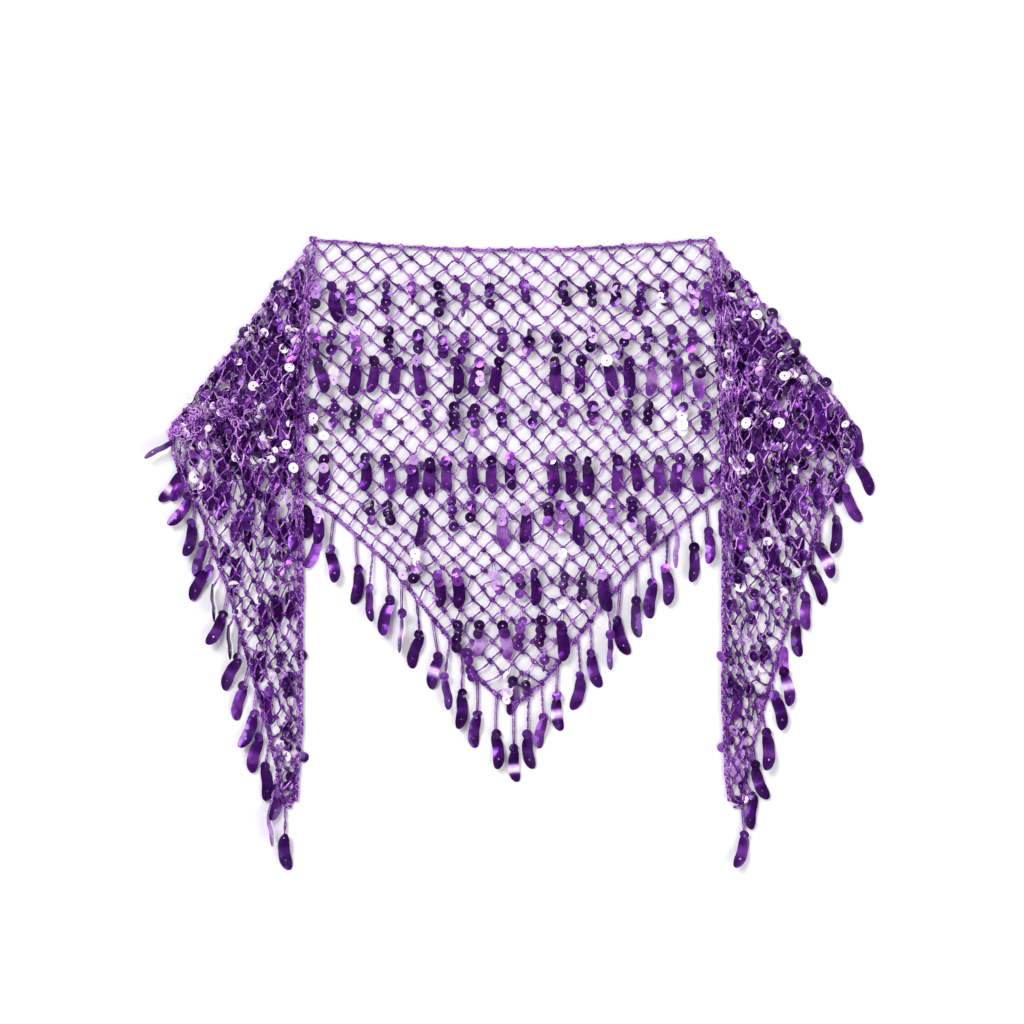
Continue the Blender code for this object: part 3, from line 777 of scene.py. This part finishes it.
RIGHT_DROPS = np.array([
    (853, 420, 856, 444, 857, 458, .10, 10, 0, 0), (851, 448, 866, 482, 872, 494, .14, -8, 1, 0),
    (846, 476, 852, 506, 859, 520, .43, 10, 1, 0), (833, 500, 835, 537, 833, 553, .12, 10, 1, 0),
    (826, 518, 823, 557, 832, 576, .30, -8, 1, 1), (815, 545, 817, 585, 823, 601, .14, 8, 1, 0),
    (805, 580, 806, 615, 806, 630, .43, 12, 1, 0), (797, 600, 797, 638, 799, 656, .10, 12, 1, 0),
    (784, 650, 787, 689, 790, 705, .30, 8, 1, 1), (776, 680, 779, 712, 783, 727, .12, -6, 1, 0),
    (768, 710, 767, 748, 767, 766, .20, 6, 1, 0), (758, 745, 760, 782, 766, 797, .12, 8, 1, 0),
    (751, 780, 752, 812, 750, 828, .12, 8, 1, 0), (742, 805, 741, 849, 736, 866, .36, 8, 1, 0)])

def on_middle_hem(root):
    """Roots moved up or down onto the pointed hem."""
    y = np.interp(np.abs(root[:, 0]), HEM_ROWS[::-1, 1], HEM_ROWS[::-1, 0])
    return np.stack([root[:, 0], np.where(np.abs(root[:, 0]) < 4.0, -137.0, y)], 1)

def on_end_hem(root):
    """Roots moved in or out onto the hem of a folded end, but for the last one, at its very tip."""
    on_hem = np.sign(root[:, 0]) * (outer_side(root[:, 1]) - 0.5)
    return np.stack([np.where(root[:, 1] < -220.0, root[:, 0], on_hem), root[:, 1]], 1)

DROP_TONE = 0.6                   # the drops' film, against the paleness in their tables
HOLE_TO_TIP = 27.0                # mm, from a bean's upper hole to its end
# the bean's band is a painted reflection: paler film where it is bent
PAINTED_BAND_HALF = 0.15                  # half the length of its paler band, as a share of the bean

def fringe_parts(drops, carrier_height, dice, to_hem=lambda root: root, floor=0.5):
    """Threads, rounds and beans of drops in lay-out squares. Two strands of thread run from the
    root to the bean's upper hole. Each bean has a painted reflection: a paler band of exp(-gap⁴)
    where it is bent, nearly white on the banded ones."""
    root, middle, tip = plan(drops[:, 0:2]), plan(drops[:, 2:4]), plan(drops[:, 4:6])
    paleness, strung, with_painted_band = drops[:, 6], drops[:, 8] > 0, drops[:, 9] > 0
    root = to_hem(root)
    n = len(drops)
    down = unit(tip - middle)
    roll = np.radians(drops[:, 7])
    lift = floor + 5.6 * np.abs(np.sin(roll)) + 0.8
    hole = tip - down * HOLE_TO_TIP
    spin = np.arctan2(down[:, 0], -down[:, 1])
    flip = np.where(dice.random(n) < 0.5, 0.0, np.pi)
    down_it = down_bean(FRINGE_BEAN, FRINGE_LENGTH)
    gap = (down_it - dice.uniform(0.42, 0.62, (n, 1))) / PAINTED_BAND_HALF
    # painted reflection: near white on the banded beans, faint on the others
    painted_reflection = np.where(with_painted_band, 0.92 - paleness, dice.uniform(0.0, 0.18, n))[:, None]
    beans = copies(FRINGE_BEAN, np.column_stack([hole, lift]),
                   turned(spin, dice.normal(0, 0.09, n), roll + flip), dice.normal(1, 0.04, n),
                   tone=DROP_TONE * paleness[:, None] + painted_reflection * np.exp(-gap ** 4))
    to_root = unit(root - hole)
    seat = hole + to_root * 3.6 + dice.normal(0, 0.5, (n, 2))
    turns = turned(dice.uniform(0, 6, n), dice.normal(0, 0.22, n), dice.normal(0, 0.4, n))
    size, vary = dice.normal(0.93, 0.05, strung.sum()), dice.normal(0.0, 0.11, strung.sum())
    rounds = copies(ROUND, np.column_stack([seat, lift + 1.3])[strung], turns[strung], size,
                    tone=np.clip(DROP_TONE * paleness[strung] + vary, 0, 1))
    t = np.linspace(0, 1, 18)[None, :, None]
    aside = np.stack([-to_root[:, 1], to_root[:, 0]], 1)
    bow = dice.normal(0, 0.8, (n, 1, 1))
    twist = dice.choice((0.0, 3.0, 7.0), (n, 1, 1))
    strands = []
    for half in (-1, 1):
        gap = half * (0.45 * np.sin(np.pi * np.minimum(t * 0.55 + 0.35, 1)) + 0.35)
        flat = root[:, None] * (1 - t) + hole[:, None] * t + aside[:, None] * (
            gap * np.cos(twist * np.pi * t) + 0.5 * np.sin(np.pi * t) * bow)
        z = carrier_height * (1 - t) + (lift[:, None, None] + 0.6) * t
        strands.append(np.concatenate([flat, z + 0 * flat[..., :1]], -1))
    threads = yarn(np.concatenate(strands), 0.62, sides=5, pitch=2.2,
                   shade=dice.normal(0.0, 0.04, 2 * n))
    return threads, [beans, rounds]

def hem_route(rows, column, side, start, end, z):
    """The hem between two heights, from the table of rows, every 3 mm with a slight wander."""
    y = np.arange(start, end, -3.0)
    x = read(rows, y, column) + 0.5 * ripples(y, 0 * y, 51 + side, 25)
    return np.stack([side * x, y, z + 0 * y], 1)

HIDDEN = 6                        # drops on the hem under each folded end
HIDDEN_HEM = np.array((HEM_START, (FOLD_CORNER[0] - 4.0, FOLD_CORNER[1] - 2.0)))
TIP_OF_END = np.array([(205.2, -228.0, 1.5), (202.0, -229.5, 1.6), (198.0, -228.5, 1.8)])

def hidden_drops(side, dice):
    """The drops under a folded end, evenly spaced along its hidden hem."""
    share = (np.arange(HIDDEN) + 0.55)[:, None] / (HIDDEN + 0.2)
    x, y = (HIDDEN_HEM[0] * (1 - share) + HIDDEN_HEM[1] * share).T
    x, y = ORIGIN_X + side * x / SQUARE, ORIGIN_Y - y / SQUARE
    lean = dice.normal(3 * side, 4, HIDDEN)
    paleness, roll = dice.uniform(0.1, 0.6, HIDDEN), dice.normal(0, 12, HIDDEN)
    return np.column_stack([x, y, x + lean, y + 47, x + lean * 1.6, y + 62, paleness, roll,
                            np.ones(HIDDEN), np.zeros(HIDDEN)])

def fringe_piece(stretch, chains, film):
    """The chain with its threads, and the drops' film, of one stretch of fringe."""
    node = "fringe_" + stretch
    return [make_piece("hem_chain_" + stretch, chains, node, "edge_yarn"),
            make_piece("drops_" + stretch, film, node, "foil_fringe")]

for (side, label), drops in zip(SIDES, (LEFT_DROPS, RIGHT_DROPS)):
    dice = np.random.default_rng(61 + side)
    mine = np.sign(plan(CENTRE_DROPS[:, 0:2])[:, 0] - 2.0) == side
    threads, film = fringe_parts(CENTRE_DROPS[mine], 2.0, dice, on_middle_hem)
    hem = plait(hem_route(HEM_ROWS, HALF_WIDTH, side, HEM_START[1], -137.5, 2.0), "hem", dice)
    hidden_route = np.column_stack([np.linspace(*HIDDEN_HEM, 30) * (side, 1), np.full(30, 1.5)])
    hidden_hem = plait(hidden_route, "hidden hem", dice)
    hidden_threads, hidden_film = fringe_parts(hidden_drops(side, dice), 1.4, dice, floor=0.1)
    fringe_piece(
        "center_" + label, [hem, hidden_hem, threads, hidden_threads], film + hidden_film)
    threads, film = fringe_parts(drops, 1.6, dice, on_end_hem)
    route = np.concatenate([hem_route(WING_ROWS, OUTER_EDGE, side, FOLD_CORNER[1], -226.0, 1.5),
                            TIP_OF_END * (side, 1, 1)])
    hem = plait(route, "folded hem", dice)
    fringe_piece("wing_" + label, [hem, threads], film)

# %% [markdown]
# ## The rows of sequins
#
# Sequins hang from the knots in rows across the net. Rows of strings, three or four rounds that
# overlap like tiles, take turns with rows of long beans, each below one or two rounds. Here and
# there one has turned on edge, or faces a bright side of the sky and flashes white, and that white
# is painted into its film as well.
# %% Strings of sequins on the middle
# the top of a row, then x of each string or long one, all on the lay-out grid
ROUND_ROWS = [
    (287, (316, 351, 387, 413, 440, 466, 489, 525, 563, 591, 616, 641, 663, 692, 708)),
    (333, (316, 332, 355, 389, 420, 441, 465, 503, 530, 557, 591, 624, 648, 671, 692)),
    (407, (313, 335, 356, 379, 427, 454, 474, 501, 533, 566, 592, 628, 648, 682, 705)),
    (504, (371, 388, 452, 472, 547, 561, 611, 631)),
    (553, (416,)), (577, (495, 521, 563, 584)), (622, (458, 521, 541)), (654, (468, 544)),
    (676, (508, 528))]
LONG_ROWS = [
    (288, (334,)), (362, (318, 356, 375, 397, 417, 458, 480, 498, 556, 581, 608, 628, 651, 677, 701)),
    (460, (325, 366, 388, 413, 431, 447, 472, 492, 511, 551, 570, 587, 617, 634, 658, 678, 698)),
    (512, (318, 424, 503, 526, 580, 649)), (574, (438, 457, 535, 603)), (624, (480, 503, 561)),
    (680, (513,))]
# rounds tilted to flash, and painted pale as well
PAINTED_PALE_ROUNDS = plan([(616, 291), (661, 304), (660, 298), (692, 290), (694, 304), (591, 332), (593, 338),
                    (355, 331), (334, 372), (334, 380), (318, 387), (480, 376), (480, 382),
                    (425, 414), (314, 418), (324, 436), (313, 329), (562, 553), (562, 604),
                    (585, 604), (506, 692), (403, 575)])
FLASH_TILT = 0.50                 # radians; film this far off flat mirrors the bright sides
PAINTED_DARK_SHARE = 0.62                 # of the sequins on the middle

def painted_light_tones(n, dice, dark=PAINTED_DARK_SHARE):
    """Paleness of n sequins, partly painted light: the film is one violet, and these stand in for what
    each sequin mirrors. This share of them dark, the others clear violet or lilac.
    """
    light = dice.choice((0.28, 0.45, 0.68, 0.92), n, p=(.42, .30, .18, .10))
    deep = dice.choice((0.0, 0.10, 0.18), n, p=(.45, .35, .20))
    return np.clip(np.where(dice.random(n) < dark, deep, light) + dice.normal(0, 0.04, n), 0, 1)

def flashing(n, dice, off=0.9):
    """The nod and roll of n sequins that flash white: tilted by FLASH_TILT to any side that is off
    that of the soft box, which would burn them out, by this angle or more."""
    side = dice.uniform(off, 2 * np.pi - off, n) - math.atan2(KEY_PLACE[1], KEY_PLACE[0])
    return FLASH_TILT * np.sin(side), np.arcsin(np.sin(FLASH_TILT) * np.cos(side))

def strings(tops, counts, heading, height, dice, pitch=7.0, on_edge=0.08, rock=0.20, flash=0.0,
            dark=PAINTED_DARK_SHARE):
    """Rounds strung one below the other: number j of a string lies pitch j along its heading, and
    each rocks on its thread. Most of a string has one paleness; the share on_edge has turned on
    edge, and the share flash of the others is tilted to flash and painted white. Returns a part for
    all of them."""
    which = np.repeat(np.arange(len(tops)), counts)
    order = np.concatenate([np.arange(c) for c in counts])
    n = len(which)
    away = np.stack([np.sin(heading), -np.cos(heading)], 1)[which]
    place = tops[which] + away * (order * pitch)[:, None] + dice.normal(0, 0.9, (n, 2))
    edge = dice.random(n) < on_edge
    nod = np.where(edge, dice.normal(0.2, 0.2, n), dice.normal(0.0, rock, n))
    roll = np.where(edge, dice.choice((-1, 1), n) * dice.uniform(1.0, 1.35, n),
                    np.clip(dice.normal(0, 1.6 * rock, n), -1.1, 1.1))
    white = ~edge & (dice.random(n) < flash)
    nod, roll = np.where(white, flashing(n, dice), (nod, roll))
    z = height[which] + dice.permutation(n) % 4 * 0.35 + np.where(edge, 1.2, 0) - 0.8 * white
    same = dice.random(n) < 0.7
    tone = np.where(same, painted_light_tones(len(tops), dice, dark)[which], painted_light_tones(n, dice, dark))
    # the flashing ones get a painted white tone of 0.95 on top of their tilt
    return copies(ROUND, np.column_stack([place, z]), turned(heading[which], nod, roll),
                  dice.normal(1.0, 0.05, n), tone=np.where(white, 0.95, tone))

def long_ones(tops, heading, height, dice):
    """Beans hung from tops along their headings, either side up, each rocked about its length.
    Each has a painted reflection, paler by exp(-gap⁴) somewhere along its upper half."""
    n = len(tops)
    gap = (down_bean(BEAN, BEAN_LENGTH) - dice.uniform(0.15, 0.6, (n, 1))) / 0.28
    painted_reflection = dice.uniform(0.0, 0.26, (n, 1)) * np.exp(-gap ** 4)
    dice.random(n)                # a draw for each that isn't used; the later ones depend on it
    roll = dice.normal(0, 0.16, n) + np.where(dice.random(n) < 0.5, 0, np.pi)
    # tone: the painted light tones plus the painted reflection along the bean
    return copies(BEAN, np.column_stack([tops, height]),
                  turned(heading, dice.normal(0, 0.06, n), roll), dice.normal(0.94, 0.05, n),
                  tone=0.06 + 0.5 * painted_light_tones(n, dice)[:, None] + painted_reflection)

def nearest(knots, places):
    """The knot nearest to each place."""
    gap = ((knots[None, :, :2] - places[:, None]) ** 2).sum(-1)
    return knots[gap.argmin(1)]

dice = np.random.default_rng(71)
round_tops = plan([(x, y + dice.normal(0, 1.5)) for y, row in ROUND_ROWS for x in row])
long_tops = plan([(x, y + dice.normal(0, 1.5)) for y, row in LONG_ROWS for x in row])
swing = dice.normal(0, 0.10, len(round_tops))
long_swing = dice.normal(0, 0.12, len(long_tops))
film = [strings(round_tops, dice.integers(3, 5, len(round_tops)), swing,
                np.full(len(round_tops), 4.7), dice),
        long_ones(long_tops + (0, -5.0), long_swing, np.full(len(long_tops), 4.6), dice),
        strings(long_tops, dice.integers(1, 3, len(long_tops)), long_swing,
                np.full(len(long_tops), 5.8), dice, pitch=6.5)]
n = len(PAINTED_PALE_ROUNDS)
# painted pale tones, 0.76 and 0.92, on top of the flashing tilt
film.append(copies(ROUND, np.column_stack([PAINTED_PALE_ROUNDS, dice.uniform(5.4, 6.2, n)]),
                   turned(0.0, *flashing(n, dice)), np.full(n, 1.0),
                   tone=dice.choice((0.76, 0.92), n)))
centre_sequins = make_piece("sequins_center", film, "net_center", "foil_fringe")
tops = np.concatenate([round_tops, long_tops])
roots = nearest(centre_knots, tops + (0, 7.0))
t = np.linspace(0, 1, 8)[None, :, None]
ties = []
for half in (-1, 1):
    tied = np.column_stack([tops + (half * 0.5, 0), np.full(len(tops), 5.0)])
    ties.append(roots[:, None] * (1 - t) + tied[:, None] * t
                + (half * 0.9, 0, 1.2) * np.sin(np.pi * t))
centre_ties = make_piece("sequin_ties_center",
                         [yarn(np.concatenate(ties), 0.3, sides=5, pitch=1.6)],
                         "net_center", "net_yarn")

# %% Sequins under the folded ends
# rounds on the dense part that flash and are painted white: x, y, size, and 1 on top of the yarn or 0
# among it
PAINTED_WHITE_ROUNDS = {
    "left": np.array([(290, 368, .95, 1), (254, 386, 1.0, 1), (284, 349, .95, 0), (289, 329, .7, 0),
                      (265, 333, .9, 0), (239, 362, .8, 0), (287, 445, .9, 1), (276, 450, .62, 1),
                      (272, 459, .8, 1), (294, 468, 1.0, 1), (203, 446, .9, 0), (195, 477, 1.2, 0),
                      (259, 419, .8, 0), (290, 424, .7, 0), (236, 457, .9, 0)]),
    "right": np.array([(754, 315, 1.0, 1), (782, 376, .95, 1), (725, 345, .8, 0), (728, 354, .9, 0),
                       (745, 423, 1.05, 1), (736, 424, .7, 0), (778, 423, 1.1, 1), (783, 446, .8, 0),
                       (750, 458, .8, 1), (794, 470, .8, 1), (843, 424, .75, 1), (813, 455, .7, 0),
                       (808, 446, .6, 0), (778, 356, .7, 0)])}
# dark rounds out at the fold
FOLD_ROUNDS = {"left": plan([(279, 285), (276, 290), (243, 333), (191, 397)]),
               "right": plan([(767, 313), (769, 319), (790, 344), (821, 383)])}
# below the hidden hem they hang further apart. Rounds: x, y, paleness; long ones: x and y of the
# top, lean in radians, paleness
LOW_ROUNDS = {
    "left": np.array([
        (248, 509, .05), (264, 553, .35), (281, 556, .05), (287, 560, .30), (279, 571, .35),
        (225, 551, .05), (223, 560, .10), (231, 561, .05), (234, 585, .94), (233, 592, .05),
        (238, 612, .94), (259, 599, .94), (249, 626, .92), (258, 630, .10), (293, 595, .30),
        (299, 597, .35), (298, 615, .35), (302, 655, .05), (281, 657, .05), (253, 663, .20),
        (260, 668, .05), (291, 676, .05), (285, 683, .10), (289, 691, .05), (261, 695, .05),
        (269, 691, .40), (288, 726, .03), (288, 734, .12), (288, 746, .05), (280, 744, .92),
        (287, 756, .92), (294, 764, .45), (304, 757, .05), (291, 777, .05), (288, 786, .08),
        (291, 798, .25)]),
    "right": np.array([
        (742, 518, .05), (751, 532, .08), (764, 534, .10), (767, 541, .92), (799, 531, .45),
        (790, 541, .08), (803, 555, .30), (745, 568, .10), (748, 561, .92), (730, 579, .05),
        (738, 578, .08), (787, 571, .05), (785, 581, .15), (789, 583, .10), (783, 592, .94),
        (784, 597, .92), (775, 589, .05), (740, 587, .92), (754, 594, .20), (731, 605, .08),
        (739, 605, .50), (754, 606, .20), (778, 611, .35), (741, 626, .25), (751, 619, .10),
        (727, 629, .05), (761, 638, .05), (765, 650, .03), (764, 659, .05), (754, 656, .10),
        (728, 652, .20), (762, 667, .92), (721, 656, .35), (731, 682, .08), (726, 687, .30),
        (737, 690, .05), (751, 689, .03), (759, 703, .50), (728, 721, .12), (733, 730, .62),
        (743, 733, .02), (730, 740, .05), (742, 754, .10), (722, 747, .50), (741, 786, .15),
        (736, 799, .10), (744, 798, .60)])}
LOW_LONG = {
    "left": np.array([
        (242, 513, -.31, .35), (248, 524, .07, .05), (269, 511, -.05, .10), (283, 522, -.10, .08),
        (240, 560, -.22, .05), (261, 604, .15, .14), (276, 598, 0., .02), (289, 595, .05, .08),
        (262, 654, -.12, .08), (268, 696, 0., .22), (306, 508, .05, .05)]),
    "right": np.array([
        (761, 496, -.05, .05), (785, 490, .05, .12), (722, 512, .05, .30), (737, 542, .10, .05),
        (767, 543, .20, .10), (774, 547, .10, .20), (800, 540, -.10, .06), (784, 650, 0., .40),
        (737, 693, -.10, .30), (743, 739, -.30, .66), (733, 758, .20, .64)])}

def scattered(pitch, dice):
    """Places on the +X end, one in each square of a grid of this pitch, at random in its square."""
    x, y = np.meshgrid(np.arange(184, 312, pitch), np.arange(-228, 268, pitch))
    spots = np.stack([x.ravel(), y.ravel()], 1) + dice.uniform(0, pitch, (x.size, 2))
    inner, outer = waist_side(spots[:, 1]) + 2, outer_side(spots[:, 1]) - 3.5
    return spots[(spots[:, 0] > inner) & (spots[:, 0] < outer) & (spots[:, 1] > -218)
                 & (spots[:, 1] < 250)]

def on_net(places, lift):
    """Places on a folded end with their height, this much over its net."""
    return np.column_stack([places, over_drops(np.abs(places[:, 0]), places[:, 1]) + lift])

CLOSE_TO = {"left": -14.0, "right": 9.0}     # mm past the hidden hem where the dense part stops
# the share of strung rounds that flash, with a painted white tone as well
PAINTED_WHITE_SHARE = {"left": 0.17, "right": 0.08}  # of the strung rounds under each end
ABOVE_YARN, AMONG_YARN = 4.0, 1.6            # mm over the net's underside
GLINTS, PEEPING = 14, 5    # rounds in the heap of loops, and those that peep out at the waist edge
for side, label in SIDES:
    dice = np.random.default_rng(81 + side)
    close, sparse = scattered(9.2, dice), scattered(16.5, dice)
    close = close[past_hem(*close.T) < CLOSE_TO[label]]
    sparse = sparse[(past_hem(*sparse.T) >= CLOSE_TO[label]) & (sparse[:, 1] > 48.0)]
    film = []
    for spots, low in ((close, 2.0), (sparse, 0.9)):
        x, y = spots.T
        spots = spots * (side, 1)
        long = dice.random(len(spots)) < 0.22
        long &= (outer_side(y) - x > 11.0) & (x - waist_side(y) > 7.0)
        headings = np.clip(dice.normal(0.0, 0.5, len(spots)), -0.55, 0.55)
        net = over_drops(x, y) + 1.2
        z = low + dice.random(len(spots)) * np.maximum(net - low - 0.6, 0.3)
        # dark=0.78 paints more of these dark than on the middle: painted shade where they lie under the
        # yarn
        film.append(strings(spots[~long], dice.integers(2, 4, (~long).sum()), headings[~long],
                            z[~long], dice, pitch=7.5, on_edge=0.12, rock=0.3,
                            flash=PAINTED_WHITE_SHARE[label], dark=0.78))
        film.append(long_ones(spots[long] + (0, 8), headings[long], z[long], dice))
    x, y, size, on_top = PAINTED_WHITE_ROUNDS[label].T
    places = on_net(plan(np.stack([x, y], 1)), np.where(on_top > 0, ABOVE_YARN, AMONG_YARN))
    # painted white tone 0.94 on top of the flashing tilt
    film.append(copies(ROUND, places, turned(0.0, *flashing(len(size), dice)), size, tone=0.94))
    x, y, tone = LOW_ROUNDS[label].T
    n = len(tone)
    nod, roll = dice.normal(0, 0.22, n), dice.normal(0, 0.40, n)
    # the rounds listed paler than 0.9 are painted white and also tilted to flash
    nod, roll = np.where(tone > 0.9, flashing(n, dice), (nod, roll))
    places = on_net(plan(np.stack([x, y], 1)), dice.uniform(0.3, 1.6, n))
    film.append(copies(ROUND, places, turned(0.0, nod, roll), dice.normal(1.0, 0.06, n), tone=tone))
    x, y, lean, tone = LOW_LONG[label].T
    n = len(tone)
    flip = np.where(dice.random(n) < 0.5, 0.0, np.pi)
    film.append(copies(BEAN, np.column_stack([plan(np.stack([x, y], 1)), np.full(n, 1.6)]),
                       turned(lean, dice.normal(0, 0.05, n), flip + dice.normal(0, 0.2, n)),
                       dice.normal(0.9, 0.05, n), tone=tone))
    if label == "left":
        x, y = dice.uniform(-302, -240, GLINTS), dice.uniform(106, 140, GLINTS)
        places = on_net(np.stack([x, below_fold(x, y, 7.0)], 1), 2.6)
        # the glints are tilted to flash and painted pale, with tones up to 0.98
        film.append(copies(ROUND, places, turned(0.0, *flashing(GLINTS, dice)),
                           dice.uniform(0.6, 0.9, GLINTS),
                           tone=dice.choice((0.35, 0.75, 0.98), GLINTS)))
    y = dice.uniform(40, 200, PEEPING)
    peeping = np.stack([side * (waist_side(y) + dice.uniform(0.0, 4.5, PEEPING)), y], 1)
    few = np.concatenate([peeping, FOLD_ROUNDS[label]])
    heights = np.repeat((1.2, 3.0), (PEEPING, len(few) - PEEPING))
    film.append(strings(few, np.ones(len(few), int), dice.normal(0, 0.3, len(few)), heights, dice,
                        pitch=6.0, on_edge=0.0, dark=0.85))
    if label == "right":
        film = [bellied(part) for part in film]
    make_piece("sequins_" + label + "_end", film, "net_" + label, "foil_fringe")
